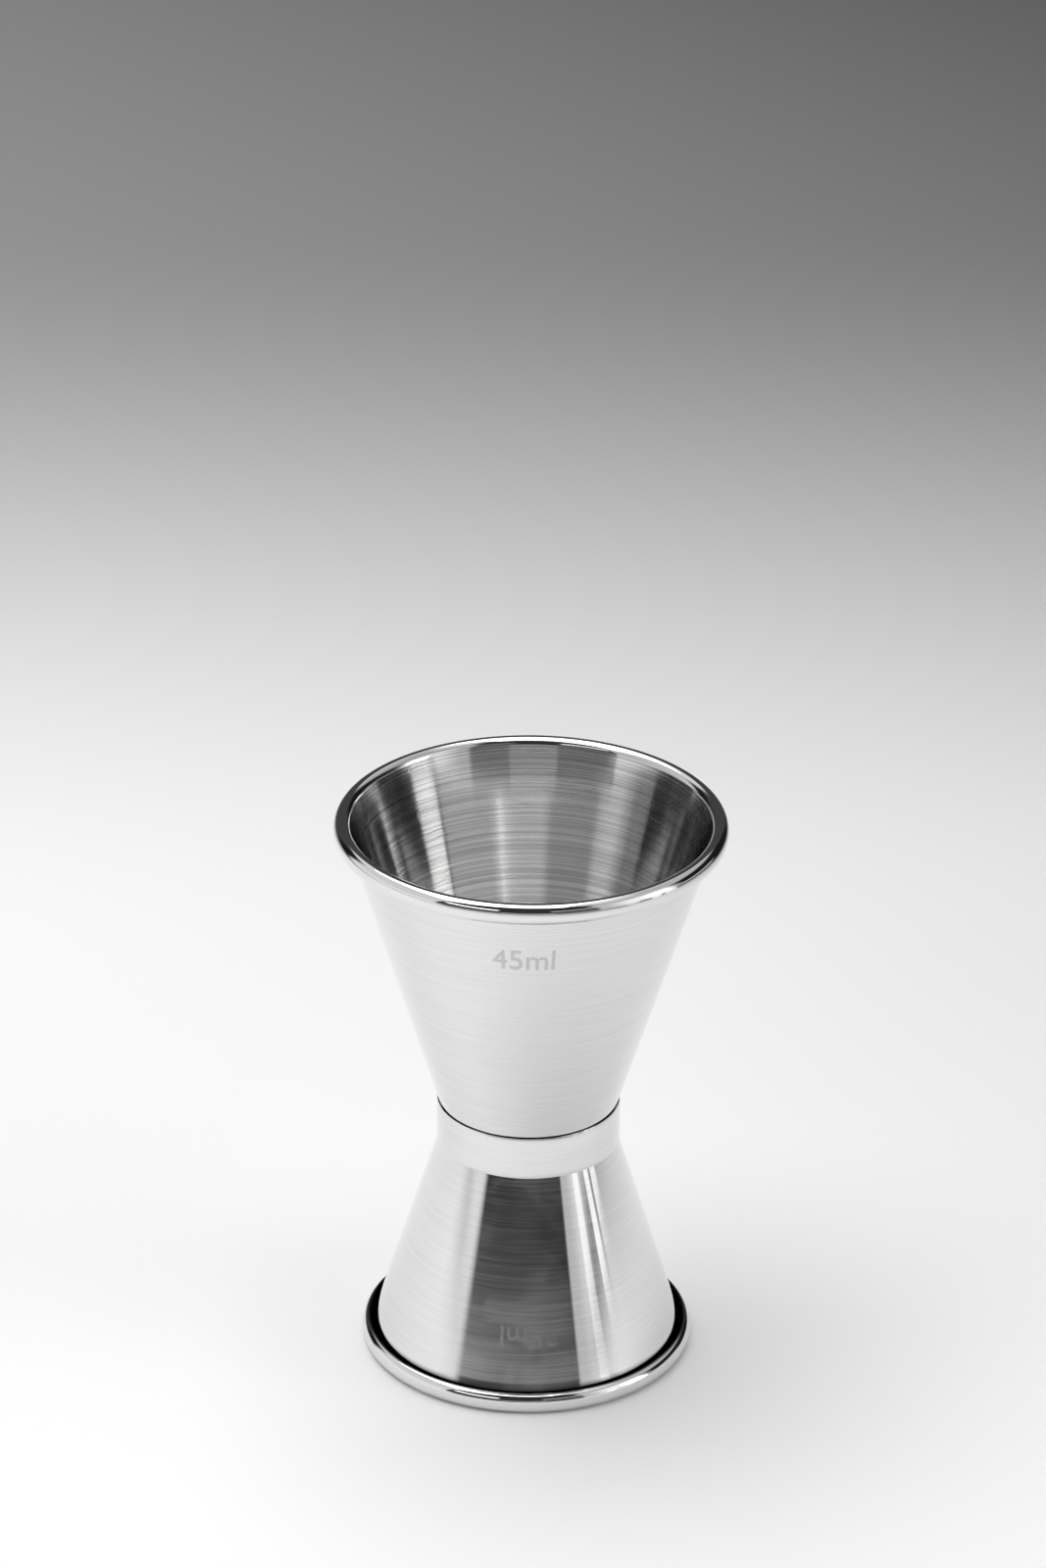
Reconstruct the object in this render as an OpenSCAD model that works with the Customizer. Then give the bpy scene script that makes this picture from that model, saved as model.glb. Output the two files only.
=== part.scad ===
// Double jigger: two drawn steel cups joined floor to floor, with a collar round the joint.
// It stands on the small cup's rim at height 0, and its axis is Z. All lengths are in millimetres.

/* [Both cups] */
// Thickness of the sheet that the cups are drawn from
sheet_t = 0.8; // [0.5:0.05:0.9]
// Diameter at which each cup's wall would meet the underside of its floor
waist_d = 22.6; // [19:0.1:25]
// Outside radius of the bend between a cup's floor and its wall
floor_bend_r = 2; // [1.2:0.1:3]

/* [Large cup] */
// Height of the large cup, from the underside of its floor to the top of its rim
large_h = 45.2; // [38:0.1:56]
// Diameter over the rolled rim of the large cup
large_rim_d = 53; // [46:0.1:60]
// Thickness of the roll on the large rim, square to the axis
large_roll_w = 2.3; // [2:0.05:3]
// Upright stretch on the outside of that roll, between its two bends
large_roll_flat = 0.6; // [0.1:0.05:1.5]

/* [Small cup] */
// Height of the small cup, from the underside of its floor to the top of its rim
small_h = 34.1; // [28:0.1:42]
// Diameter over the rolled rim of the small cup
small_rim_d = 45.4; // [39:0.1:52]
// Thickness of the roll on the small rim, square to the axis
small_roll_w = 1.95; // [1.9:0.05:3]
// Upright stretch on the outside of that roll, between its two bends
small_roll_flat = 0.9; // [0.1:0.05:1.5]

/* [Rims] */
// Gap between the turned-in end of a roll and the wall beside it
roll_gap = 0.9; // [0.3:0.05:1.1]
// Depth by which each rim is pressed flat, so that it stands without rocking
rim_land = 0.04; // [0.02:0.01:0.1]

/* [Collar] */
// Height of the collar that covers the joint
collar_h = 6.1; // [4:0.1:9]
// Thickness of the collar at its middle
collar_t = 0.8; // [0.6:0.05:1.2]
// Depth of the chamfer on both outer edges of the collar
collar_chamfer = 0.08; // [0.06:0.02:0.4]
// Height of that chamfer
collar_chamfer_h = 0.35; // [0.15:0.05:0.6]
// Width of the flat edge between that chamfer and the cup's wall
collar_edge_w = 0.04; // [0.03:0.01:0.2]
// Gap between the collar's bevelled bore and each cup
collar_fit = 0.15; // [0.02:0.01:0.25]

/* [Spot welds] */
// Number of spot welds that join the two floors
weld_count = 3; // [2:1:5]
// Diameter of each weld nugget
weld_d = 3.5; // [2:0.1:4]
// Thickness of each nugget, half of it in each floor
weld_t = 0.6; // [0.3:0.05:0.8]
// Diameter of the circle that the welds stand on
weld_circle_d = 10; // [8:0.5:12]

/* [Hidden] */
$fn = 128;
steel = [0.79, 0.79, 0.78];
collar_steel = [0.85, 0.85, 0.85];
weld_steel = [0.55, 0.56, 0.58];
// Overrun of every cut past the face that it goes through
overrun = 1;
// Angle between neighbouring points of an arc in a cup's section
arc_step = 6;

// Centre of the upper bend of a cup's roll: the radius, and the height above the floor's underside
function roll_centre(rim_d, h, roll_w) = [(rim_d - roll_w) / 2, h + rim_land - roll_w / 2];

// Slope of a cup's wall, as its angle from upright: its outer face passes through the corner at
// the waist, and its inner face runs straight into the roll
function lean(rim_d, h, roll_w) =
    let (run = roll_centre(rim_d, h, roll_w) - [waist_d / 2, 0])
    atan2(run.x, run.y) - asin((roll_w / 2 - sheet_t) / norm(run));

// Points along an arc from angle a to angle b, both ends included
function arc(centre, r, a, b) =
    let (steps = ceil(abs(b - a) / arc_step))
    [for (i = [0 : steps])
        let (turn = a + (b - a) * i / steps)
        centre + r * [cos(turn), sin(turn)]];

large_lean = lean(large_rim_d, large_h, large_roll_w);
small_lean = lean(small_rim_d, small_h, small_roll_w);

// Radii of the two walls at the height of the collar's edges, which its bore follows
collar_top_r = waist_d / 2 + collar_h / 2 * tan(large_lean) + collar_fit;
collar_low_r = waist_d / 2 + collar_h / 2 * tan(small_lean) + collar_fit;
collar_r = max(collar_top_r, collar_low_r) + collar_edge_w + collar_chamfer;
collar_bore_r = collar_r - collar_t;

// One cup's sheet in section: floor, bend, wall, and the rim rolled outwards and back towards
// the wall. Its two faces follow the same arcs, one sheet thickness apart.
module cup_section(rim_d, h, roll_w, roll_flat) {
    slope = lean(rim_d, h, roll_w);
    bend = [
        waist_d / 2 - floor_bend_r * (1 - sin(slope)) / cos(slope),
        floor_bend_r
    ];
    high = roll_centre(rim_d, h, roll_w);
    low = high - [0, roll_flat];
    turn_in = slope + acos((roll_gap + sheet_t - roll_flat * sin(slope)) / (roll_w / 2) - 1);
    function face(depth) = concat(
        [[0, sheet_t - depth]],
        arc(bend, floor_bend_r - sheet_t + depth, -90, -slope),
        arc(high, roll_w / 2 - depth, 180 - slope, 0),
        arc(low, roll_w / 2 - depth, 0, -turn_in)
    );
    inside = face(0);
    outside = face(sheet_t);
    last = len(outside) - 1;
    polygon(concat(inside, [for (i = [0 : last]) outside[last - i]]));
}

// One cup standing on its floor, mouth up, with weld pockets in the underside of the floor
module cup(rim_d, h, roll_w, roll_flat) {
    difference() {
        rotate_extrude() difference() {
            cup_section(rim_d, h, roll_w, roll_flat);
            translate([0, h]) square([rim_d, overrun]);
        }
        weld_places() translate([0, 0, -overrun])
            cylinder(h = overrun + weld_t / 2, d = weld_d);
    }
}

// Places of the spot welds, round the axis at the height of the joint
module weld_places() {
    for (i = [0 : weld_count - 1])
        rotate(i * 360 / weld_count) translate([weld_circle_d / 2, 0, 0]) children();
}

module large_cup() {
    color(steel) translate([0, 0, small_h])
        cup(large_rim_d, large_h, large_roll_w, large_roll_flat);
}

module small_cup() {
    color(steel) translate([0, 0, small_h]) mirror([0, 0, 1])
        cup(small_rim_d, small_h, small_roll_w, small_roll_flat);
}

// Ring whose bore is straight at the joint and bevelled above and below to follow the walls
module collar() {
    half = collar_h / 2;
    shoulder = half - collar_chamfer_h;
    bevel_up = (collar_bore_r - collar_fit - waist_d / 2) / tan(large_lean);
    bevel_low = (collar_bore_r - collar_fit - waist_d / 2) / tan(small_lean);
    color(collar_steel) translate([0, 0, small_h]) rotate_extrude() polygon([
        [collar_r, -shoulder],
        [collar_r, shoulder],
        [collar_r - collar_chamfer, half],
        [collar_top_r, half],
        [collar_bore_r, bevel_up],
        [collar_bore_r, -bevel_low],
        [collar_low_r, -half],
        [collar_r - collar_chamfer, -half]
    ]);
}

module spot_welds() {
    color(weld_steel) translate([0, 0, small_h]) weld_places()
        translate([0, 0, -weld_t / 2]) cylinder(h = weld_t, d = weld_d);
}

large_cup();
small_cup();
collar();
spot_welds();
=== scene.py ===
"""Looks of a double jigger of brushed steel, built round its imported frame.

Each cup is turned from its own outline by one Geometry Nodes tree, and so is the collar round
the joint. The finishes are brushed and polished steel. All lengths are in metres, +Z is up, and
-Y is the side with the capacity marks.
"""

import logging
import math
from dataclasses import dataclass
from enum import Enum
from typing import Any

import bmesh
import bpy
from mathutils import Matrix, Vector


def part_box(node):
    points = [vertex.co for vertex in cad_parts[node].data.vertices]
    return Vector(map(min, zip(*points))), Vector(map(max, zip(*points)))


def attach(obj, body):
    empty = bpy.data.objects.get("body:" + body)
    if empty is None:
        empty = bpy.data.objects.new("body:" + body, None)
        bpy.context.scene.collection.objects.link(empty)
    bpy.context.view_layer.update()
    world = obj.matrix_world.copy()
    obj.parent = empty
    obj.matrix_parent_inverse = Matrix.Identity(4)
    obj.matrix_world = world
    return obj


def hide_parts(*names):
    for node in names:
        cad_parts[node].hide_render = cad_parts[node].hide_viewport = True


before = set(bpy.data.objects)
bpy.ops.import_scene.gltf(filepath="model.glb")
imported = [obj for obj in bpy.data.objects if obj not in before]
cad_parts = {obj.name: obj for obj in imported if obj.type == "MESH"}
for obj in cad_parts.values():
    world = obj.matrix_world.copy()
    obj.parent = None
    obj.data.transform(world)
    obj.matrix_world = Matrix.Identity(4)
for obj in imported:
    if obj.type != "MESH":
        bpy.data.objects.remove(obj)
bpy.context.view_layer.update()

MM = 0.001
UM = 0.000001
LOG = logging.getLogger("jigger")


class Facing(Enum):
    """Which way a cup's mouth looks."""

    UP = 1.0
    DOWN = -1.0


class Side(Enum):
    """Which face of a cup's sheet a stretch of its outline belongs to."""

    INSIDE = 1.0
    OUTSIDE = 0.0


class Graph:
    """A node tree, with short ways to add nodes and to join them."""

    def __init__(self, tree: bpy.types.NodeTree) -> None:
        """Takes the tree that the nodes go into."""
        self.tree = tree

    def node(self, kind: str, inputs: dict[str | int, Any] | None = None, **settings: Any) -> bpy.types.Node:
        """Adds a node.

        Args:
            kind: Blender's name for the type of node.
            inputs: What goes into its sockets, by name or number: a value, or a socket to join.
            settings: The node's own properties.

        Returns:
            The new node.
        """
        made = self.tree.nodes.new(kind)
        for name, value in settings.items():
            setattr(made, name, value)
        for socket, value in (inputs or {}).items():
            if isinstance(value, bpy.types.NodeSocket):
                self.tree.links.new(value, made.inputs[socket])
            else:
                made.inputs[socket].default_value = value
        return made

    def math(self, operation: str, *values: Any) -> bpy.types.NodeSocket:
        """Adds a Math node and returns its result.

        Args:
            operation: Blender's name for the operation.
            values: The numbers or sockets that it works on.

        Returns:
            The socket of the result.
        """
        return self.node("ShaderNodeMath", dict(enumerate(values)), operation=operation).outputs[0]

    def vector_math(self, operation: str, *values: Any, **named: Any) -> bpy.types.NodeSocket:
        """Adds a Vector Math node and returns its vector.

        Args:
            operation: Blender's name for the operation.
            values: The vectors or sockets that it works on.
            named: Other inputs, by name.

        Returns:
            The socket of the vector.
        """
        inputs = {**dict(enumerate(values)), **named}
        return self.node("ShaderNodeVectorMath", inputs, operation=operation).outputs[0]

    def blend(self, share: Any, first: Any, second: Any) -> bpy.types.NodeSocket:
        """Adds a Mix node for numbers, and returns first where share is 0 and second where it is 1."""
        return self.node("ShaderNodeMix", {0: share, 2: first, 3: second}).outputs[0]

    def smooth_step(
        self, value: Any, start: Any, end: Any, low: Any = 0.0, high: Any = 1.0
    ) -> bpy.types.NodeSocket:
        """Adds a smooth Map Range node, from low at start to high at end, and returns its result."""
        made = self.node(
            "ShaderNodeMapRange",
            {"Value": value, "From Min": start, "From Max": end, "To Min": low, "To Max": high},
            interpolation_type="SMOOTHSTEP",
        )
        return made.outputs[0]

    def grey(self, value: Any) -> bpy.types.NodeSocket:
        """Turns one number into a grey colour and returns its socket."""
        return self.node("ShaderNodeCombineColor", {0: value, 1: value, 2: value}).outputs[0]

    def grain(self, place: Any, size: float) -> bpy.types.NodeSocket:
        """Adds fine noise whose grains are about as wide as the size, and returns its level."""
        spot = self.vector_math("SCALE", place, Scale=1.0 / size)
        return self.node("ShaderNodeTexNoise", {"Vector": spot, "Scale": 1.0, "Detail": 2.0}).outputs[0]

    def bump(self, height: Any) -> bpy.types.NodeSocket:
        """Adds a Bump node for a height in metres, and returns the normal."""
        return self.node("ShaderNodeBump", {"Strength": 1.0, "Distance": 1.0, "Height": height}).outputs[0]

    def surface(self, inputs: dict[str, Any]) -> None:
        """Adds the shader with these inputs, and the material's output."""
        shader = self.node("ShaderNodeBsdfPrincipled", inputs)
        self.node("ShaderNodeOutputMaterial", {"Surface": shader.outputs[0]})


def new_group(
    name: str, kind: str, sockets: dict[str, str], results: dict[str, str]
) -> tuple[Graph, Any, Any]:
    """Starts a node group.

    Args:
        name: The group's name.
        kind: Blender's name for the type of tree.
        sockets: The inputs, name to type of socket.
        results: The outputs, name to type of socket.

    Returns:
        The group's graph, its input sockets by name and its output node.
    """
    tree = bpy.data.node_groups.new(name, kind)
    for label, socket in sockets.items():
        tree.interface.new_socket(label, in_out="INPUT", socket_type=socket)
    for label, socket in results.items():
        tree.interface.new_socket(label, in_out="OUTPUT", socket_type=socket)
    graph = Graph(tree)
    return graph, graph.node("NodeGroupInput").outputs, graph.node("NodeGroupOutput").inputs


def new_material(name: str) -> tuple[bpy.types.Material, Graph, bpy.types.NodeSocket]:
    """Starts a material.

    Args:
        name: The material's name.

    Returns:
        The material, its empty graph and the socket of a point's place on the piece.
    """
    made = bpy.data.materials.new(name)
    made.use_nodes = True
    made.node_tree.nodes.clear()
    graph = Graph(made.node_tree)
    return made, graph, graph.node("ShaderNodeTexCoord").outputs["Object"]


def place_object(name: str, data: bpy.types.ID) -> bpy.types.Object:
    """Puts an object with this data into the scene and returns it."""
    made = bpy.data.objects.new(name, data)
    bpy.context.scene.collection.objects.link(made)
    return made


FLOAT = "NodeSocketFloat"
VECTOR = "NodeSocketVector"


@dataclass(frozen=True)
class OutlinePoint:
    """A point of a turned piece's outline, and the finish that it has, with the share of painted shade that
    darkens the groove under the roll.
    """

    radius: float
    height: float
    polish: float = 0.0
    side: Side = Side.OUTSIDE
    # Share of painted shade: the colour is darkened where the groove under the roll and the roll's hollow lie
    # in shade.
    painted_shade: float = 0.0


def arc(
    centre: tuple[float, float], radius: float, start: float, end: float, step: float
) -> list[tuple[float, float]]:
    """Points along an arc, both ends included.

    Args:
        centre: The arc's centre, as a radius and a height.
        radius: The arc's own radius.
        start: The angle of its first point, in degrees from outwards.
        end: The angle of its last point.
        step: The widest angle between neighbouring points.

    Returns:
        The points, each a radius and a height.
    """
    count = max(1, math.ceil(abs(end - start) / step))
    turns = [math.radians(start + (end - start) * i / count) for i in range(count + 1)]
    return [(centre[0] + radius * math.cos(a), centre[1] + radius * math.sin(a)) for a in turns]


def straight(
    start: tuple[float, float], end: tuple[float, float], rows: int, margin: float
) -> list[tuple[float, float]]:
    """Points between two ends, both left out, with one close to each end.

    The close ones keep the shading of a straight wall from bending near its ends.

    Args:
        start: The first end, a radius and a height.
        end: The other end.
        rows: How many even steps the line has.
        margin: How far from each end the close points lie.

    Returns:
        The points, each a radius and a height.
    """
    length = math.dist(start, end)
    shares = [margin / length] + [i / rows for i in range(1, rows)] + [1 - margin / length]
    return [tuple(a + (b - a) * share for a, b in zip(start, end)) for share in shares]


class TurningLathe:
    """Turns an outline round the Z axis into a closed mesh, with a Geometry Nodes tree."""

    SIDES = 256
    SHARP_ANGLE = math.radians(24)
    WELD_GAP = 0.5 * UM
    # The last field carries the painted shade of the groove under the roll and of the roll's hollow.
    FIELDS = ("along", "polish", "inside", "painted_shade")

    def __init__(self) -> None:
        """Builds the tree that every turned piece goes through."""
        self.tree = self._build_tree()

    def _build_tree(self) -> bpy.types.NodeTree:
        """Builds the tree: a grid whose rows are the outline's points and whose columns are turns.

        Returns:
            The finished tree.
        """
        graph, inputs, outputs = new_group(
            "turned_sheet",
            "GeometryNodeTree",
            {
                "Outline": "NodeSocketGeometry",
                "Sides": "NodeSocketInt",
                "Sharp Angle": FLOAT,
                "Weld Gap": FLOAT,
                "Finish": "NodeSocketMaterial",
            },
            {"Geometry": "NodeSocketGeometry"},
        )
        outline = inputs["Outline"]
        count = graph.node("GeometryNodeAttributeDomainSize", {"Geometry": outline}).outputs["Point Count"]
        columns = graph.math("ADD", inputs["Sides"], 1)
        grid = graph.node(
            "GeometryNodeMeshGrid", {"Size X": 1.0, "Size Y": 1.0, "Vertices X": columns, "Vertices Y": count}
        )
        index = graph.node("GeometryNodeInputIndex").outputs[0]
        half_on = graph.math("ADD", index, 0.5)
        column = graph.math("FLOOR", graph.math("DIVIDE", half_on, count))
        row = graph.math("SUBTRACT", index, graph.math("MULTIPLY", column, count))
        turn = graph.math("MULTIPLY", graph.math("DIVIDE", column, inputs["Sides"]), math.tau)

        def at_row(value: bpy.types.NodeSocket, kind: str) -> bpy.types.NodeSocket:
            """Reads a field of the outline at the grid point's row and returns its socket."""
            sampled = graph.node(
                "GeometryNodeSampleIndex", {"Geometry": outline, "Value": value, "Index": row}, data_type=kind
            )
            return sampled.outputs[0]

        place = at_row(graph.node("GeometryNodeInputPosition").outputs[0], "FLOAT_VECTOR")
        turned = graph.node(
            "ShaderNodeVectorRotate", {"Vector": place, "Angle": turn}, rotation_type="Z_AXIS"
        ).outputs[0]
        shaped = graph.node(
            "GeometryNodeSetPosition", {"Geometry": grid.outputs["Mesh"], "Position": turned}
        ).outputs[0]
        for field in self.FIELDS:
            read = graph.node("GeometryNodeInputNamedAttribute", {"Name": field}, data_type="FLOAT")
            shaped = graph.node(
                "GeometryNodeStoreNamedAttribute",
                {"Geometry": shaped, "Name": field, "Value": at_row(read.outputs[0], "FLOAT")},
                data_type="FLOAT",
                domain="POINT",
            ).outputs[0]
        shaped = graph.node(
            "GeometryNodeStoreNamedAttribute",
            {"Geometry": shaped, "Name": "UVMap", "Value": grid.outputs["UV Map"]},
            data_type="FLOAT2",
            domain="CORNER",
        ).outputs[0]
        shaped = graph.node(
            "GeometryNodeMergeByDistance", {"Geometry": shaped, "Distance": inputs["Weld Gap"]}
        ).outputs[0]
        shaped = graph.node("GeometryNodeSetShadeSmooth", {"Geometry": shaped}, domain="FACE").outputs[0]
        bend = graph.node("GeometryNodeInputMeshEdgeAngle").outputs[0]
        sharp = graph.math("GREATER_THAN", bend, inputs["Sharp Angle"])
        shaped = graph.node(
            "GeometryNodeSetShadeSmooth",
            {"Geometry": shaped, "Selection": sharp, "Shade Smooth": False},
            domain="EDGE",
        ).outputs[0]
        shaped = graph.node("GeometryNodeRealizeInstances", {"Geometry": shaped}).outputs[0]
        shaped = graph.node(
            "GeometryNodeSetMaterial", {"Geometry": shaped, "Material": inputs["Finish"]}
        ).outputs[0]
        graph.tree.links.new(shaped, outputs["Geometry"])
        return graph.tree

    def turn(self, name: str, points: list[OutlinePoint], finish: bpy.types.Material) -> bpy.types.Object:
        """Turns one piece.

        Args:
            name: The piece's name.
            points: Its outline, with the metal on the left hand of its direction.
            finish: Its material.

        Returns:
            The piece as a plain mesh object at the origin.
        """
        mesh = bpy.data.meshes.new(name + "_outline")
        mesh.from_pydata(
            [(p.radius, 0.0, p.height) for p in points], [(i, i + 1) for i in range(len(points) - 1)], []
        )
        along = [0.0]
        for last, this in zip(points, points[1:]):
            along.append(along[-1] + math.dist((last.radius, last.height), (this.radius, this.height)))
        finish_fields = zip(*((p.polish, p.side.value, p.painted_shade) for p in points))
        for label, values in zip(self.FIELDS, (along, *finish_fields)):
            mesh.attributes.new(label, "FLOAT", "POINT").data.foreach_set("value", values)
        piece = place_object(name, mesh)
        nodes = piece.modifiers.new("turned_sheet", "NODES")
        nodes.node_group = self.tree
        wanted = {
            "Sides": self.SIDES,
            "Sharp Angle": self.SHARP_ANGLE,
            "Weld Gap": self.WELD_GAP,
            "Finish": finish,
        }
        for item in self.tree.interface.items_tree:
            if item.item_type == "SOCKET" and item.in_out == "INPUT" and item.name in wanted:
                nodes[item.identifier] = wanted[item.name]
        evaluated = piece.evaluated_get(bpy.context.evaluated_depsgraph_get())
        turned = bpy.data.meshes.new_from_object(evaluated)
        turned.name = name
        piece.modifiers.remove(nodes)
        piece.data = turned
        bpy.data.meshes.remove(mesh)
        return piece


class ShaderGroups:
    """The effects that more than one finish uses, each a node group that is built once."""

    def __init__(self) -> None:
        """Builds every group."""
        self.lines = self._brushed_lines()
        self.scratches = self._scratch_arcs()
        self.handling = self._handling_marks()

    @staticmethod
    def _around(graph: Graph, place: Any, along: Any, turns: Any, pitch: Any) -> bpy.types.NodeSocket:
        """Coordinates in which one unit is a streak's length round the axis and a line's pitch across it.

        Args:
            graph: The graph to add to.
            place: A point's place on the piece.
            along: How far along the outline it lies.
            turns: How many streak lengths make a radian.
            pitch: The distance between neighbouring lines.

        Returns:
            The socket of the coordinates.
        """
        flat = graph.vector_math("MULTIPLY", place, (1.0, 1.0, 0.0))
        heading = graph.vector_math("SCALE", graph.vector_math("NORMALIZE", flat), Scale=turns)
        depth = graph.math("DIVIDE", along, pitch)
        lift = graph.node("ShaderNodeCombineXYZ", {"Z": depth}).outputs[0]
        return graph.vector_math("ADD", heading, lift)

    def _brushed_lines(self) -> bpy.types.NodeTree:
        """Fine lines round the axis, as a height from 0 to 1."""
        graph, inputs, outputs = new_group(
            "brushed_lines",
            "ShaderNodeTree",
            {"Place": VECTOR, "Along": FLOAT, "Turns": FLOAT, "Pitch": FLOAT, "Detail": FLOAT},
            {"Height": FLOAT},
        )
        spot = self._around(graph, inputs["Place"], inputs["Along"], inputs["Turns"], inputs["Pitch"])
        noise = graph.node(
            "ShaderNodeTexNoise", {"Vector": spot, "Scale": 1.0, "Detail": inputs["Detail"], "Roughness": 0.6}
        )
        graph.tree.links.new(noise.outputs[0], outputs["Height"])
        return graph.tree

    def _scratch_arcs(self) -> bpy.types.NodeTree:
        """Single long scratches that nearly follow the brushing, as a mask from 0 to 1."""
        graph, inputs, outputs = new_group(
            "scratch_arcs",
            "ShaderNodeTree",
            {
                "Place": VECTOR,
                "Along": FLOAT,
                "Turns": FLOAT,
                "Pitch": FLOAT,
                "Width": FLOAT,
                "Rarity": FLOAT,
            },
            {"Mask": FLOAT},
        )
        spot = self._around(graph, inputs["Place"], inputs["Along"], inputs["Turns"], inputs["Pitch"])
        level = graph.node("ShaderNodeTexNoise", {"Vector": spot, "Scale": 1.0, "Detail": 1.0}).outputs[0]
        off_line = graph.math("ABSOLUTE", graph.math("SUBTRACT", level, 0.5))
        line = graph.smooth_step(off_line, inputs["Width"], 0.0)
        shifted = graph.vector_math("ADD", spot, (7.3, 2.1, 4.9))
        patch = graph.node("ShaderNodeTexNoise", {"Vector": shifted, "Scale": 0.7, "Detail": 0.0}).outputs[0]
        chosen = graph.smooth_step(patch, inputs["Rarity"], graph.math("ADD", inputs["Rarity"], 0.08))
        graph.tree.links.new(graph.math("MULTIPLY", line, chosen), outputs["Mask"])
        return graph.tree

    def _handling_marks(self) -> bpy.types.NodeTree:
        """Broad soft smudges of handling, as a share from 0 to 1."""
        graph, inputs, outputs = new_group(
            "handling_marks", "ShaderNodeTree", {"Place": VECTOR, "Size": FLOAT}, {"Share": FLOAT}
        )
        spot = graph.vector_math("SCALE", inputs["Place"], Scale=graph.math("DIVIDE", 1.0, inputs["Size"]))
        noise = graph.node(
            "ShaderNodeTexNoise", {"Vector": spot, "Scale": 1.0, "Detail": 3.0, "Distortion": 0.6}
        ).outputs[0]
        graph.tree.links.new(graph.smooth_step(noise, 0.35, 0.7), outputs["Share"])
        return graph.tree


@dataclass(frozen=True)
class SteelFinish:
    """Steel that is brushed round the axis, polished where its polish attribute says so, and darkened with
    painted shade in the groove under the roll and the roll's hollow.
    """

    name: str
    colour: tuple[float, float, float] = (0.79, 0.793, 0.787)
    satin_roughness: float = 0.06
    inside_roughness: float = 0.1
    polished_roughness: float = 0.05
    # Roughness and colour factor of the painted shade in the groove under the roll.
    painted_shade_roughness: float = 0.1
    painted_shade_level: float = 0.008
    line_roughness: float = 0.04
    anisotropy: float = 0.86
    line_pitch: float = 0.3 * MM
    inside_pitch: float = 0.24 * MM
    line_turns: float = 0.9
    inside_turns: float = 0.35
    line_height: float = 0.4 * UM
    inside_height: float = 1.0 * UM
    line_shade: float = 0.93
    inside_shade: float = 0.62
    line_detail: float = 3.0
    scratch_turns: float = 3.0
    scratch_pitch: float = 2.4 * MM
    scratch_width: float = 0.012
    scratch_rarity: float = 0.5
    scratch_height: float = 3.0 * UM
    smudge_size: float = 9.0 * MM
    smudge_roughness: float = 0.02

    def material(self, groups: ShaderGroups) -> bpy.types.Material:
        """Builds the material.

        Args:
            groups: The shared effects.

        Returns:
            The material.
        """
        made, graph, place = new_material(self.name)
        along, polish, inside, painted_shade = (
            graph.node("ShaderNodeAttribute", attribute_name=field).outputs["Fac"]
            for field in TurningLathe.FIELDS
        )
        satin = graph.math("SUBTRACT", 1.0, polish)

        turns = graph.blend(inside, self.line_turns, self.inside_turns)
        pitch = graph.blend(inside, self.line_pitch, self.inside_pitch)
        lines = graph.node(
            "ShaderNodeGroup",
            {"Place": place, "Along": along, "Turns": turns, "Pitch": pitch, "Detail": self.line_detail},
            node_tree=groups.lines,
        ).outputs[0]
        scratches = graph.node(
            "ShaderNodeGroup",
            {
                "Place": place,
                "Along": along,
                "Turns": self.scratch_turns,
                "Pitch": self.scratch_pitch,
                "Width": self.scratch_width,
                "Rarity": self.scratch_rarity,
            },
            node_tree=groups.scratches,
        ).outputs[0]
        smudges = graph.node(
            "ShaderNodeGroup", {"Place": place, "Size": self.smudge_size}, node_tree=groups.handling
        ).outputs[0]

        depth = graph.blend(inside, self.line_height, self.inside_height)
        cut = graph.math("MULTIPLY", graph.math("MULTIPLY", scratches, self.scratch_height), inside)
        height = graph.math("SUBTRACT", graph.math("MULTIPLY", lines, depth), cut)
        height = graph.math("MULTIPLY", height, satin)

        rough = graph.blend(inside, self.satin_roughness, self.inside_roughness)
        off_middle = graph.math("SUBTRACT", lines, 0.5)
        rough = graph.math("MULTIPLY_ADD", off_middle, self.line_roughness, rough)
        rough = graph.blend(polish, rough, self.polished_roughness)
        rough = graph.math("ADD", rough, graph.math("MULTIPLY", smudges, self.smudge_roughness))
        # Where the painted shade lies, the roughness changes to its own value.
        rough = graph.blend(painted_shade, rough, self.painted_shade_roughness)

        darkest = graph.blend(inside, self.line_shade, self.inside_shade)
        shade = graph.blend(polish, graph.smooth_step(lines, 0.3, 0.7, darkest, 1.0), 1.0)
        # Painted shade: the groove under the roll and the roll's hollow are darkened nearly to black.
        shade = graph.math("MULTIPLY", shade, graph.blend(painted_shade, 1.0, self.painted_shade_level))
        colour = graph.vector_math("SCALE", self.colour, Scale=shade)
        tangent = graph.node("ShaderNodeTangent", direction_type="RADIAL", axis="Z").outputs[0]
        graph.surface(
            {
                "Base Color": colour,
                "Metallic": 1.0,
                "Roughness": rough,
                "Anisotropic": self.anisotropy,
                "Anisotropic Rotation": 0.25,
                "Normal": graph.bump(height),
                "Tangent": tangent,
            }
        )
        return made


@dataclass(frozen=True)
class EtchedFinish:
    """Steel that a capacity mark is etched into: matt and a little darker."""

    name: str
    colour: tuple[float, float, float] = (0.61, 0.612, 0.61)
    roughness: float = 0.42
    grain_size: float = 0.12 * MM
    grain_height: float = 1.5 * UM

    def material(self) -> bpy.types.Material:
        """Builds the material and returns it."""
        made, graph, place = new_material(self.name)
        grain = graph.grain(place, self.grain_size)
        colour = graph.vector_math("SCALE", self.colour, Scale=graph.smooth_step(grain, 0.3, 0.7, 0.9, 1.05))
        normal = graph.bump(graph.math("MULTIPLY", grain, self.grain_height))
        graph.surface(
            {"Base Color": colour, "Metallic": 1.0, "Roughness": self.roughness, "Normal": normal}
        )
        return made


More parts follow.
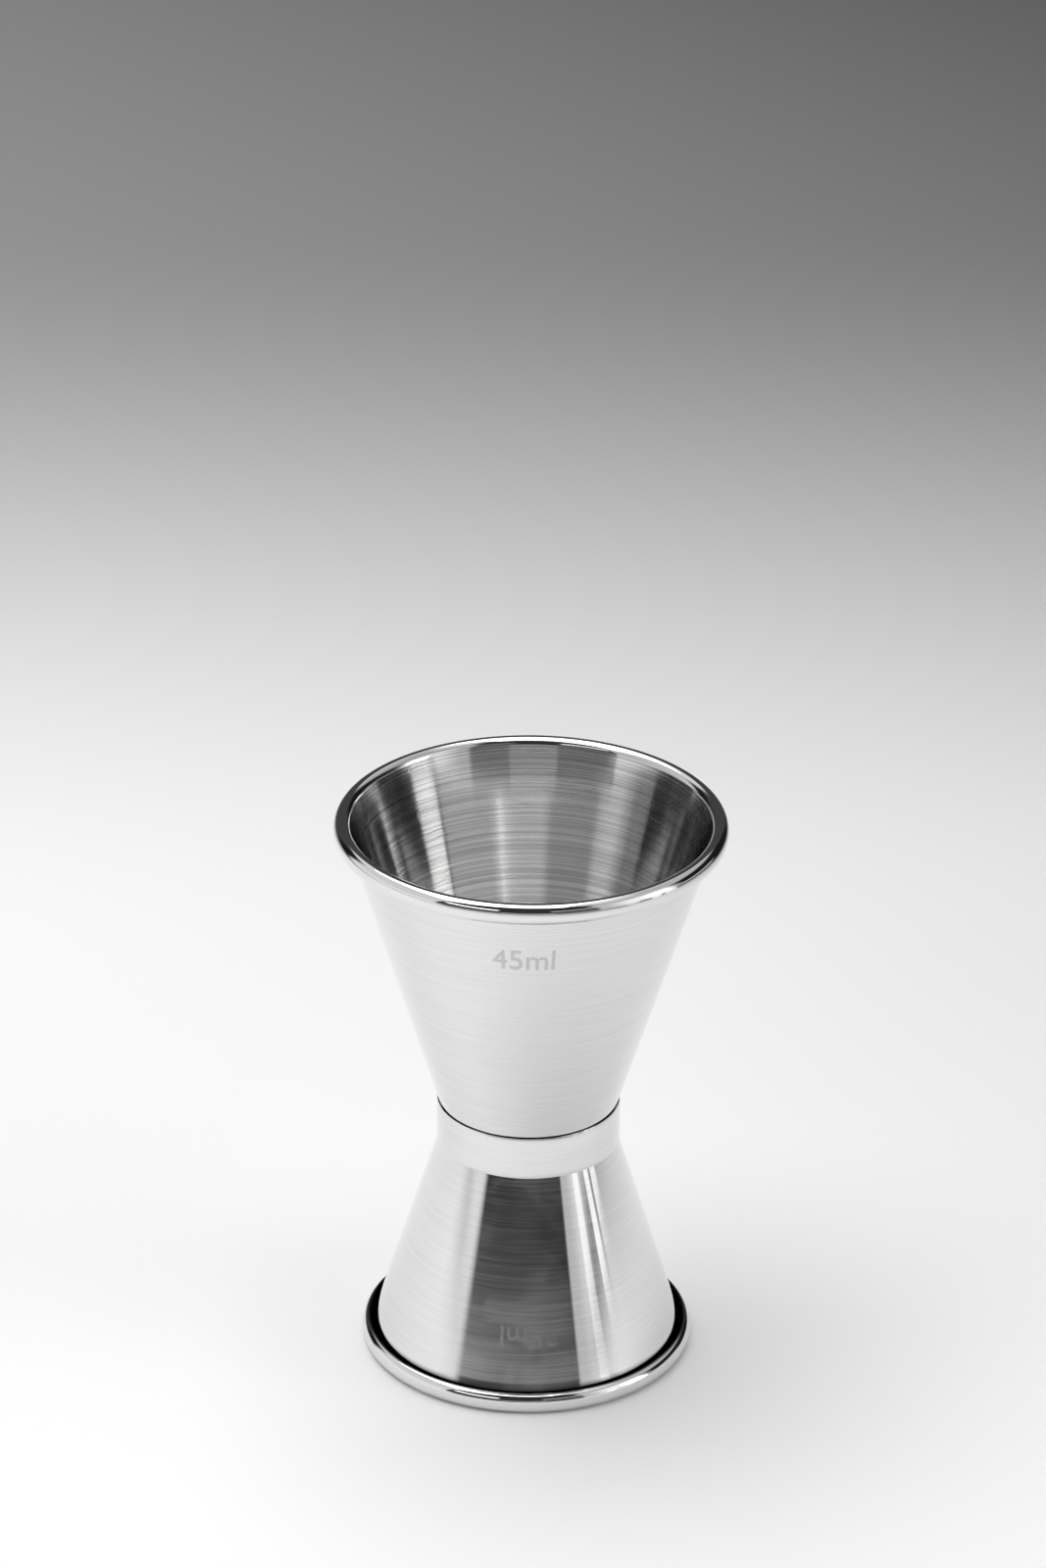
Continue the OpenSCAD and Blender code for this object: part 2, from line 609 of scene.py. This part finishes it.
@dataclass(frozen=True)
class WeldFinish:
    """Steel of a spot weld: grey, with a blue and straw tint from the heat."""

    name: str
    blue: tuple[float, float, float] = (0.44, 0.47, 0.55)
    straw: tuple[float, float, float] = (0.62, 0.56, 0.46)
    tint_size: float = 1.1 * MM
    grain_size: float = 0.15 * MM
    grain_height: float = 4.0 * UM

    def material(self) -> bpy.types.Material:
        """Builds the material and returns it."""
        made, graph, place = new_material(self.name)
        share = graph.smooth_step(graph.grain(place, self.tint_size), 0.35, 0.65)
        colour = graph.node(
            "ShaderNodeMix", {0: share, 6: (*self.blue, 1.0), 7: (*self.straw, 1.0)}, data_type="RGBA"
        ).outputs[2]
        grain = graph.grain(place, self.grain_size)
        normal = graph.bump(graph.math("MULTIPLY", grain, self.grain_height))
        rough = graph.smooth_step(grain, 0.3, 0.7, 0.38, 0.52)
        graph.surface({"Base Color": colour, "Metallic": 1.0, "Roughness": rough, "Normal": normal})
        return made


@dataclass
class RolledCup:
    """A cone drawn from one sheet: floor, bend, wall, and a rim rolled outwards and back to the wall."""

    name: str
    node: str
    facing: Facing
    roll_w: float
    roll_flat: float
    waist_d: float = 22.6 * MM
    sheet_t: float = 0.8 * MM
    floor_bend_r: float = 2.0 * MM
    roll_gap: float = 0.9 * MM
    neck_start: float = 3.9 * MM
    neck_h: float = 1.6 * MM
    neck_out: float = 0.03 * MM
    rim_land: float = 0.04 * MM
    arc_step: float = 4.0
    floor_rows: int = 4
    wall_rows: int = 14
    neck_rows: int = 10
    end_margin: float = 0.12 * MM
    brushed_to: float = 24.0
    polish_fade: float = 28.0
    # Where the painted shade of the groove starts below the rim, over what height it darkens, and over what
    # turn of the roll's end it fades in.
    painted_shade_depth: float = 3.4 * MM
    painted_shade_fade: float = 0.75 * MM
    painted_shade_turn: float = 34.0

    TOP = 90.0

    def __post_init__(self) -> None:
        """Reads the rim, the height and the joint's place off the cup's own node."""
        low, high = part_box(self.node)
        self.height = high.z - low.z
        self.rim_r = (high.x - low.x) / 2
        self.joint_z = low.z if self.facing is Facing.UP else high.z

    @property
    def roll_centre(self) -> tuple[float, float]:
        """Centre of the upper bend of the roll, above the floor's underside."""
        return self.rim_r - self.roll_w / 2, self.height + self.rim_land - self.roll_w / 2

    @property
    def lean(self) -> float:
        """The wall's angle from upright, in radians."""
        radius, height = self.roll_centre
        run = (radius - self.waist_d / 2, height)
        return math.atan2(*run) - math.asin((self.roll_w / 2 - self.sheet_t) / math.hypot(*run))

    def wall_radius(self, height: float) -> float:
        """Radius of the outer face of the wall at a height above the floor's underside."""
        return self.waist_d / 2 + height * math.tan(self.lean)

    def _necked(self, wall: list[tuple[float, float]]) -> list[tuple[float, float]]:
        """Turns the wall's outer face a little outwards where it goes into the groove under the roll.

        Args:
            wall: The points of the straight face.

        Returns:
            The points, with closer ones along the neck.
        """
        start = self.height - self.neck_start
        slope = math.tan(self.lean)
        above = [p for p in wall if p[1] < start]
        foot = above[-1]
        neck = []
        for i in range(self.neck_rows + 1):
            share = i / self.neck_rows
            height = start + share * self.neck_h
            neck.append((foot[0] + (height - foot[1]) * slope + share**2 * self.neck_out, height))
        return above + neck

    def _belly(self, depth: float) -> list[tuple[float, float]]:
        """The outer side of the roll, from its top to its bottom: half of an upright oval.

        Args:
            depth: How far under the sheet's outer face it runs.

        Returns:
            Its points, with both ends left out.
        """
        radius, top = self.roll_centre
        middle = top - self.roll_flat / 2
        wide, tall = self.roll_w / 2 - depth, (self.roll_w + self.roll_flat) / 2 - depth
        count = math.ceil(2 * self.TOP / self.arc_step)
        turns = [math.radians(self.TOP - 2 * self.TOP * i / count) for i in range(1, count)]
        return [(radius + wide * math.cos(a), middle + tall * math.sin(a)) for a in turns]

    def _face(self, side: Side) -> list[OutlinePoint]:
        """One face of the sheet, from the axis to the turned-in end of the roll.

        Args:
            side: The face that is wanted.

        Returns:
            Its points, with heights above the floor's underside.
        """
        depth = 0.0 if side is Side.INSIDE else self.sheet_t
        lean, slope = self.lean, math.degrees(self.lean)
        bend = (
            self.waist_d / 2 - self.floor_bend_r * (1 - math.sin(lean)) / math.cos(lean),
            self.floor_bend_r,
        )
        high = self.roll_centre
        low = (high[0], high[1] - self.roll_flat)
        reach = self.roll_gap + self.sheet_t - self.roll_flat * math.sin(lean)
        turn_in = slope + math.degrees(math.acos(reach / (self.roll_w / 2) - 1))
        corner = arc(bend, self.floor_bend_r - self.sheet_t + depth, -90, -slope, self.arc_step)
        crown = arc(high, self.roll_w / 2 - depth, 180 - slope, self.TOP, self.arc_step)
        under = arc(low, self.roll_w / 2 - depth, -self.TOP, -turn_in, self.arc_step)
        hub = (0.0, self.sheet_t - depth)
        plain = [hub, *straight(hub, corner[0], self.floor_rows, self.end_margin), *corner]
        wall = straight(corner[-1], crown[0], self.wall_rows, self.end_margin)
        plain += wall if side is Side.INSIDE else self._necked(wall)
        points = []
        for r, h in plain:
            # Painted shade on the wall's outer face, growing where it runs down into the groove under the
            # roll.
            sunk = (h - self.height + self.painted_shade_depth) / self.painted_shade_fade
            painted_shade = 0.0 if side is Side.INSIDE else min(1.0, max(0.0, sunk))
            points.append(OutlinePoint(r, h, 0.0, side, painted_shade))
        roll = [*crown, *self._belly(depth), *under]
        for i, (r, h) in enumerate(roll):
            turned = i * self.arc_step if side is Side.INSIDE else 0.0
            polish = min(1.0, max(0.0, (turned - self.brushed_to) / self.polish_fade))
            left = (len(roll) - 1 - i) * self.arc_step
            # Painted shade over the roll's hollow, and near the turned-in end on its outer face.
            painted_shade = max(0.0, 1.0 - left / self.painted_shade_turn) if side is Side.INSIDE else 1.0
            points.append(OutlinePoint(r, min(h, self.height), polish, side, painted_shade))
        return points

    def outline(self) -> list[OutlinePoint]:
        """The whole outline at its place, with the metal on the left hand of its direction."""
        inside, outside = self._face(Side.INSIDE), self._face(Side.OUTSIDE)
        loop = outside + inside[::-1]
        if self.facing is Facing.DOWN:
            loop.reverse()
        way = self.facing.value
        return [
            OutlinePoint(p.radius, self.joint_z + way * p.height, p.polish, p.side, p.painted_shade) for p in loop
        ]

    def build(self, lathe: TurningLathe, finish: bpy.types.Material) -> bpy.types.Object:
        """Turns the cup and lets it stand for its node.

        Args:
            lathe: What turns it.
            finish: Its material.

        Returns:
            The finished piece.
        """
        piece = lathe.turn(self.name, self.outline(), finish)
        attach(piece, "root")
        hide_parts(self.node)
        return piece


@dataclass
class CollarRing:
    """Ring round the joint, whose bore follows both walls and whose outer edges are chamfered."""

    large: RolledCup
    small: RolledCup
    name: str = "collar_ring"
    node: str = "collar"
    fit: float = 0.15 * MM
    chamfer: float = 0.08 * MM
    chamfer_h: float = 0.35 * MM
    thickness: float = 0.8 * MM
    corner_r: float = 0.04 * MM
    corner_reach: float = 0.4
    corner_steps: int = 4

    def outline(self) -> list[OutlinePoint]:
        """The ring's closed outline, with rounded outer corners."""
        low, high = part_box(self.node)
        half = (high.z - low.z) / 2
        joint_z = (high.z + low.z) / 2
        outer = (high.x - low.x) / 2
        bore = outer - self.thickness
        top_r = self.large.wall_radius(half) + self.fit
        low_r = self.small.wall_radius(half) + self.fit
        slack = bore - self.fit - self.large.waist_d / 2
        corners = [
            (low_r, -half),
            (outer - self.chamfer, -half),
            (outer, self.chamfer_h - half),
            (outer, half - self.chamfer_h),
            (outer - self.chamfer, half),
            (top_r, half),
            (bore, slack / math.tan(self.large.lean)),
            (bore, -slack / math.tan(self.small.lean)),
        ]
        points: list[OutlinePoint] = []
        for i, corner in enumerate(corners):
            last, following = corners[i - 1], corners[(i + 1) % len(corners)]
            for spot in self._rounded(last, corner, following):
                points.append(OutlinePoint(spot[0], joint_z + spot[1]))
        return points + points[:1]

    def _rounded(
        self, last: tuple[float, float], corner: tuple[float, float], following: tuple[float, float]
    ) -> list[tuple[float, float]]:
        """Rounds one corner of the outline.

        Args:
            last: The corner before it.
            corner: The corner.
            following: The corner after it.

        Returns:
            Points along the rounding, with one point just before and one just after it.
        """
        back = Vector(last) - Vector(corner)
        ahead = Vector(following) - Vector(corner)
        opening = back.angle(ahead)
        longest = self.corner_reach * min(back.length, ahead.length)
        reach = min(self.corner_r / math.tan(opening / 2), longest)
        start = Vector(corner) + back.normalized() * reach
        end = Vector(corner) + ahead.normalized() * reach
        spots = []
        for i in range(self.corner_steps + 1):
            share = i / self.corner_steps
            near = start.lerp(Vector(corner), share)
            far = Vector(corner).lerp(end, share)
            spots.append(tuple(near.lerp(far, share)))
        return spots

    def build(self, lathe: TurningLathe, finish: bpy.types.Material) -> bpy.types.Object:
        """Turns the ring and lets it stand for its node.

        Args:
            lathe: What turns it.
            finish: Its material.

        Returns:
            The finished piece.
        """
        piece = lathe.turn(self.name, self.outline(), finish)
        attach(piece, "root")
        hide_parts(self.node)
        return piece


@dataclass
class CapacityMark:
    """A capacity in plain figures, etched into a cup's wall on the -Y side."""

    name: str
    text: str
    cup: RolledCup
    middle: float
    cap_height: float
    sideways: float = 0.0
    width_share: float = 1.0
    weight: float = 0.04 * MM
    proud: float = 0.012 * MM
    sunk: float = 0.03 * MM
    slice_w: float = 0.25 * MM

    def build(self, finish: bpy.types.Material) -> bpy.types.Object:
        """Writes the mark, wraps it round the wall and rides it on the cup's body.

        Args:
            finish: Its material.

        Returns:
            The finished piece.
        """
        letters = bpy.data.curves.new(self.name + "_letters", "FONT")
        letters.body = self.text
        letters.align_x = "CENTER"
        letters.resolution_u = 8
        piece = place_object(self.name, letters)
        evaluated = piece.evaluated_get(bpy.context.evaluated_depsgraph_get())
        flat = bpy.data.meshes.new_from_object(evaluated)
        bpy.data.objects.remove(piece)
        bpy.data.curves.remove(letters)
        shape = bmesh.new()
        shape.from_mesh(flat)
        bpy.data.meshes.remove(flat)
        self._scale(shape)
        self._embolden(shape)
        self._slice(shape)
        self._thicken(shape)
        self._wrap(shape)
        mesh = bpy.data.meshes.new(self.name)
        shape.to_mesh(mesh)
        shape.free()
        mesh.materials.append(finish)
        piece = place_object(self.name, mesh)
        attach(piece, "root")
        return piece

    def _scale(self, shape: bmesh.types.BMesh) -> None:
        """Brings the flat letters to size, with their middle at the origin."""
        bmesh.ops.remove_doubles(shape, verts=shape.verts, dist=1e-5)
        xs = [v.co.x for v in shape.verts]
        ys = [v.co.y for v in shape.verts]
        centre = Vector(((min(xs) + max(xs)) / 2, (min(ys) + max(ys)) / 2, 0))
        scale = self.cap_height / (max(ys) - min(ys))
        for v in shape.verts:
            v.co = (v.co - centre) * scale
            v.co.x *= self.width_share

    def _embolden(self, shape: bmesh.types.BMesh) -> None:
        """Widens the strokes of the flat letters, by moving each of their edges outwards."""
        bmesh.ops.triangulate(shape, faces=shape.faces)
        pushes: dict[bmesh.types.BMVert, list[Vector]] = {}
        for edge in (e for e in shape.edges if len(e.link_faces) == 1):
            first, second = edge.verts
            push = (second.co - first.co).cross(Vector((0, 0, 1))).normalized()
            if push.dot(edge.link_faces[0].calc_center_median() - first.co) > 0:
                push.negate()
            for v in edge.verts:
                pushes.setdefault(v, []).append(push)
        for v, (first_push, second_push) in pushes.items():
            mitre = max(1 + first_push.dot(second_push), 0.5)
            v.co += (first_push + second_push) * (self.weight / mitre)
        for face in shape.faces:
            if face.normal.z < 0:
                face.normal_flip()

    def _slice(self, shape: bmesh.types.BMesh) -> None:
        """Cuts the flat letters into narrow slices, so that they can bend round the wall."""
        xs = [v.co.x for v in shape.verts]
        cut = math.ceil(min(xs) / self.slice_w) * self.slice_w
        while cut < max(xs):
            whole = [*shape.verts, *shape.edges, *shape.faces]
            bmesh.ops.bisect_plane(shape, geom=whole, dist=1e-9, plane_co=(cut, 0, 0), plane_no=(1, 0, 0))
            cut += self.slice_w

    def _thicken(self, shape: bmesh.types.BMesh) -> None:
        """Gives the letters a thickness, from a little under the wall's face to a little over it."""
        for v in shape.verts:
            v.co.z = self.proud
        made = bmesh.ops.extrude_face_region(shape, geom=shape.faces[:], use_keep_orig=True)["geom"]
        for v in (g for g in made if isinstance(g, bmesh.types.BMVert)):
            v.co.z = -self.sunk
        bmesh.ops.recalc_face_normals(shape, faces=shape.faces)
        if shape.calc_volume(signed=True) < 0:
            bmesh.ops.reverse_faces(shape, faces=shape.faces)

    def _wrap(self, shape: bmesh.types.BMesh) -> None:
        """Bends the letters round the cup's wall, upright when the cup's mouth is up."""
        way = self.cup.facing.value
        lean = self.cup.lean
        base = self.cup.wall_radius(self.middle)
        for v in shape.verts:
            across, up, out = v.co
            on_wall = self.middle + up * math.cos(lean)
            height = on_wall - out * math.sin(lean)
            radius = self.cup.wall_radius(on_wall) + out * math.cos(lean)
            turn = (across + self.sideways) / base
            place = (way * radius * math.sin(turn), -radius * math.cos(turn))
            v.co = (*place, self.cup.joint_z + way * height)


@dataclass(frozen=True)
class SkyPatch:
    """A soft-edged part of the studio round the object, in degrees, and how bright it is.

    Its sag is how far it drops one radian to either side of its middle.
    """

    name: str
    azimuth: float
    half_width: float
    low: float
    high: float
    edge: float
    level: float
    sag: float = 0.0


@dataclass(frozen=True)
class Softbox:
    """A level area lamp over the object.

    Its middle and its size are for a height of one metre, and grow and shrink with the height.
    """

    name: str
    middle: tuple[float, float, float]
    height: float
    width: float
    depth: float
    radiance: float

    def build(self) -> None:
        """Adds the lamp, facing down."""
        lamp = bpy.data.lights.new(self.name, "AREA")
        lamp.shape = "RECTANGLE"
        lamp.size, lamp.size_y = self.width * self.height, self.depth * self.height
        lamp.energy = self.radiance * math.pi * lamp.size * lamp.size_y
        made = place_object(self.name, lamp)
        made.location = Vector(self.middle) * self.height
        made.visible_camera = False


@dataclass(frozen=True)
class StripLight:
    """A narrow upright lamp at a turn round the object, which only shows in its gloss."""

    name: str
    azimuth: float
    width: float
    radiance: float
    distance: float = 0.42
    height: float = 0.07

    def build(self) -> None:
        """Adds the lamp, facing the object."""
        lamp = bpy.data.lights.new(self.name, "AREA")
        lamp.shape = "RECTANGLE"
        lamp.size = 2 * self.distance * math.tan(math.radians(self.width / 2))
        lamp.size_y = self.height
        lamp.energy = self.radiance * math.pi * lamp.size * lamp.size_y
        made = place_object(self.name, lamp)
        turn = math.radians(self.azimuth)
        made.location = (self.distance * math.sin(turn), self.distance * math.cos(turn), self.height / 2)
        made.rotation_euler = (math.pi / 2, 0.0, math.pi - turn)
        made.visible_camera = False
        made.visible_diffuse = False


@dataclass(frozen=True)
class PaintedFloorFalloff:
    """Painted light on the floor's colour: it pales towards the front and greys towards the back and the far
    right, where the light falls off.
    """

    near_level: float = 0.888
    back_level: float = 0.345
    back_tilt: float = -0.053
    back_from: float = 0.118
    back_to: float = 0.421
    front_from: float = 0.05
    front_to: float = -0.08
    front_gain: float = 1.095
    right_tilt: float = 1.013
    right_front: float = -0.03
    right_from: float = -0.063
    right_to: float = 1.122
    right_share: float = 0.03

    def level(self, graph: Graph, place: Any) -> bpy.types.NodeSocket:
        """Adds the nodes that give the level at a place.

        Args:
            graph: The graph to add to.
            place: The place, in metres.

        Returns:
            The socket of the level.
        """
        axes = graph.node("ShaderNodeSeparateXYZ", {0: place}).outputs
        # Painted falloff of light towards the back.
        behind = graph.math("MULTIPLY_ADD", axes["X"], self.back_tilt, axes["Y"])
        level = graph.smooth_step(behind, self.back_from, self.back_to, self.near_level, self.back_level)
        # Painted pool of light: the floor pales towards the front.
        front = graph.smooth_step(axes["Y"], self.front_from, self.front_to, 1.0, self.front_gain)
        # Painted falloff of light towards the far right.
        depth = graph.math("MAXIMUM", axes["Y"], self.right_front)
        far_right = graph.math("MULTIPLY_ADD", axes["X"], self.right_tilt, depth)
        right = graph.smooth_step(far_right, self.right_from, self.right_to, 1.0, self.right_share)
        return graph.math("MULTIPLY", graph.math("MULTIPLY", level, front), right)


@dataclass
class Studio:
    """The floor, the surroundings, the lamps and the camera."""

    PATCH_FIELDS = ("Middle", "Half Width", "Low", "High", "Edge", "Sag")

    fade: PaintedFloorFalloff = PaintedFloorFalloff()
    floor_r: float = 3.0
    floor_sides: int = 96
    room_level: float = 0.012
    camera_place: tuple[float, float, float] = (-0.001146, -0.821929, 0.487241)
    camera_pitch: float = 26.11
    camera_roll: float = 0.52
    camera_lens: float = 157.5
    sensor_w: float = 36.0
    patches: tuple[SkyPatch, ...] = (
        SkyPatch("ceiling", 0.0, 134.0, 36.0, 95.0, 8.0, 0.52),
        SkyPatch("zenith", 0.0, 120.0, 64.0, 95.0, 6.0, 0.9),
        SkyPatch("back_glow", -18.0, 42.0, 38.0, 60.0, 8.0, 0.82),
        SkyPatch("back_wall", -6.0, 34.0, -90.0, 30.0, 5.0, 0.06),
        SkyPatch("left_card", -94.5, 34.5, -90.0, 44.0, 4.0, 0.74),
        SkyPatch("left_card_foot", -94.5, 33.5, -90.0, 8.0, 6.0, 0.92),
        SkyPatch("front_room", 184.0, 50.0, 6.0, 56.0, 1.0, 0.035),
        SkyPatch("front_wall", 184.0, 48.0, 7.0, 13.0, 1.0, 0.25, sag=3.0),
        SkyPatch("front_glow", 181.0, 15.0, 7.0, 13.0, 1.0, 0.43),
        SkyPatch("front_table", 184.0, 47.0, -90.0, 2.6, 0.3, 0.75, sag=4.0),
        SkyPatch("left_front_card", 215.0, 16.0, 27.6, 33.5, 1.5, 2.3),
        SkyPatch("right_front_card", 154.0, 14.0, 26.0, 32.0, 1.5, 0.5),
        SkyPatch("right_card", 116.5, 24.5, -90.0, 48.0, 1.5, 0.6),
        SkyPatch("right_card_glow", 110.0, 18.0, -90.0, 32.0, 9.0, 1.1),
        SkyPatch("right_card_foot", 74.0, 16.0, -90.0, 4.0, 4.0, 0.5),
        SkyPatch("right_strip", 104.0, 8.0, 8.0, 24.0, 2.0, 3.3),
        SkyPatch("right_strip_foot", 99.0, 4.0, -90.0, 8.0, 2.0, 1.4),
        SkyPatch("card_joint", 115.0, 2.5, -90.0, 8.0, 1.5, 0.82),
    )
    softbox: Softbox = Softbox(
        "overhead_softbox", (-0.235, 0.185, 1.0), height=0.9, width=0.9, depth=1.05, radiance=2.61
    )
    strips: tuple[StripLight, ...] = (
        StripLight("strip_far", 123.0, 7.0, 0.3),
        StripLight("strip_middle", 108.0, 6.0, 0.9),
        StripLight("strip_near", 98.0, 8.0, 0.8),
    )

    def build(self) -> None:
        """Builds the whole studio."""
        self._floor()
        self._surroundings()
        for lamp in (self.softbox, *self.strips):
            lamp.build()
        self._camera()
        bpy.context.scene.view_settings.view_transform = "Standard"

    def _floor(self) -> None:
        """Lays the round floor."""
        shape = bmesh.new()
        bmesh.ops.create_circle(shape, cap_ends=True, segments=self.floor_sides, radius=self.floor_r)
        mesh = bpy.data.meshes.new("studio_floor")
        shape.to_mesh(mesh)
        shape.free()
        floor = place_object("studio_floor", mesh)
        made, graph, place = new_material("pale_floor")
        # The floor's colour carries painted light: paler at the front, greyer at the back and far right.
        colour = graph.grey(self.fade.level(graph, place))
        graph.surface({"Base Color": colour, "Roughness": 0.85, "Specular IOR Level": 0.1})
        mesh.materials.append(made)

    def _patch_mask(self) -> bpy.types.NodeTree:
        """Builds the group that says how much of a direction lies in a patch, and returns it."""
        graph, inputs, outputs = new_group(
            "patch_mask",
            "ShaderNodeTree",
            {label: FLOAT for label in ("Turn", "Rise", *self.PATCH_FIELDS)},
            {"Mask": FLOAT},
        )
        aside = graph.math("SUBTRACT", inputs["Turn"], inputs["Middle"])
        off = graph.math("ARCCOSINE", graph.math("COSINE", aside))
        edge = inputs["Edge"]
        rise = graph.math("MULTIPLY_ADD", graph.math("MULTIPLY", off, off), inputs["Sag"], inputs["Rise"])
        inner = graph.math("SUBTRACT", inputs["Half Width"], edge)
        outer = graph.math("ADD", inputs["Half Width"], edge)
        across = graph.smooth_step(off, outer, inner)
        above = graph.smooth_step(rise, graph.math("SUBTRACT", inputs["Low"], edge), inputs["Low"])
        below = graph.smooth_step(rise, graph.math("ADD", inputs["High"], edge), inputs["High"])
        mask = graph.math("MULTIPLY", graph.math("MULTIPLY", across, above), below)
        graph.tree.links.new(mask, outputs["Mask"])
        return graph.tree

    def _surroundings(self) -> None:
        """Builds the world: a dark room with pale cards and walls."""
        world = bpy.data.worlds.new("studio")
        bpy.context.scene.world = world
        world.use_nodes = True
        world.node_tree.nodes.clear()
        graph = Graph(world.node_tree)
        way = graph.node("ShaderNodeTexCoord").outputs["Generated"]
        axes = graph.node("ShaderNodeSeparateXYZ", {0: way}).outputs
        turn = graph.math("ARCTAN2", axes["X"], axes["Y"])
        rise = graph.math("ARCSINE", axes["Z"])
        masks = self._patch_mask()
        level: Any = self.room_level
        for patch in self.patches:
            angles = (patch.azimuth, patch.half_width, patch.low, patch.high, patch.edge, patch.sag)
            values = dict(zip(self.PATCH_FIELDS, map(math.radians, angles)))
            values |= {"Turn": turn, "Rise": rise}
            mask = graph.node("ShaderNodeGroup", values, node_tree=masks, label=patch.name)
            level = graph.blend(mask.outputs[0], level, patch.level)
        background = graph.node("ShaderNodeBackground", {"Color": graph.grey(level), "Strength": 1.0})
        graph.node("ShaderNodeOutputWorld", {"Surface": background.outputs[0]})

    def _camera(self) -> None:
        """Adds the camera at the photograph's place and angle."""
        pitch, roll = math.radians(self.camera_pitch), math.radians(self.camera_roll)
        right = Vector((1, 0, 0))
        up = Vector((0, math.sin(pitch), math.cos(pitch)))
        ahead = Vector((0, math.cos(pitch), -math.sin(pitch)))
        across = right * math.cos(roll) + up * math.sin(roll)
        upward = up * math.cos(roll) - right * math.sin(roll)
        turn = Matrix((across, upward, -ahead)).transposed()
        lens = bpy.data.cameras.new("photo_camera")
        lens.lens = self.camera_lens
        lens.sensor_width = self.sensor_w
        camera = place_object("photo_camera", lens)
        camera.matrix_world = Matrix.Translation(self.camera_place) @ turn.to_4x4()
        bpy.context.scene.camera = camera


def report_piece(piece: bpy.types.Object) -> None:
    """Logs a piece's name, its faces and whether its mesh is closed and faces outwards."""
    shape = bmesh.new()
    shape.from_mesh(piece.data)
    open_edges = sum(1 for e in shape.edges if len(e.link_faces) != 2)
    volume = shape.calc_volume(signed=True) / MM**3
    LOG.info("%s: %d faces, %d open edges, %.1f mm3", piece.name, len(shape.faces), open_edges, volume)
    shape.free()


def main() -> None:
    """Builds every piece, dresses it and sets it in the studio."""
    logging.basicConfig(level=logging.INFO, format="%(message)s")
    groups = ShaderGroups()
    lathe = TurningLathe()
    cup_steel = SteelFinish("brushed_cup_steel").material(groups)
    collar_steel = SteelFinish(
        "satin_collar_steel", satin_roughness=0.09, line_roughness=0.06, line_height=0.2 * UM
    ).material(groups)
    etched = EtchedFinish("etched_steel").material()
    worn_etching = EtchedFinish("worn_etched_steel", colour=(0.77, 0.773, 0.768), roughness=0.11).material()

    large = RolledCup("large_cup_shell", "large_cup", Facing.UP, roll_w=2.3 * MM, roll_flat=0.6 * MM)
    small = RolledCup("small_cup_shell", "small_cup", Facing.DOWN, roll_w=1.95 * MM, roll_flat=0.9 * MM)
    pieces = [
        large.build(lathe, cup_steel),
        small.build(lathe, cup_steel),
        CollarRing(large, small).build(lathe, collar_steel),
        CapacityMark(
            "capacity_mark_large",
            "45ml",
            large,
            middle=35.35 * MM,
            cap_height=3.45 * MM,
            sideways=-0.88 * MM,
            width_share=0.885,
        ).build(etched),
        CapacityMark(
            "capacity_mark_small",
            "25ml",
            small,
            middle=24.2 * MM,
            cap_height=2.9 * MM,
            sideways=-0.4 * MM,
            proud=0.005 * MM,
        ).build(worn_etching),
    ]
    for piece in pieces:
        report_piece(piece)
    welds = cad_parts["spot_welds"]
    welds.data.materials.clear()
    welds.data.materials.append(WeldFinish("weld_steel_heat_tint").material())
    Studio().build()


if __name__ == "__main__":
    main()
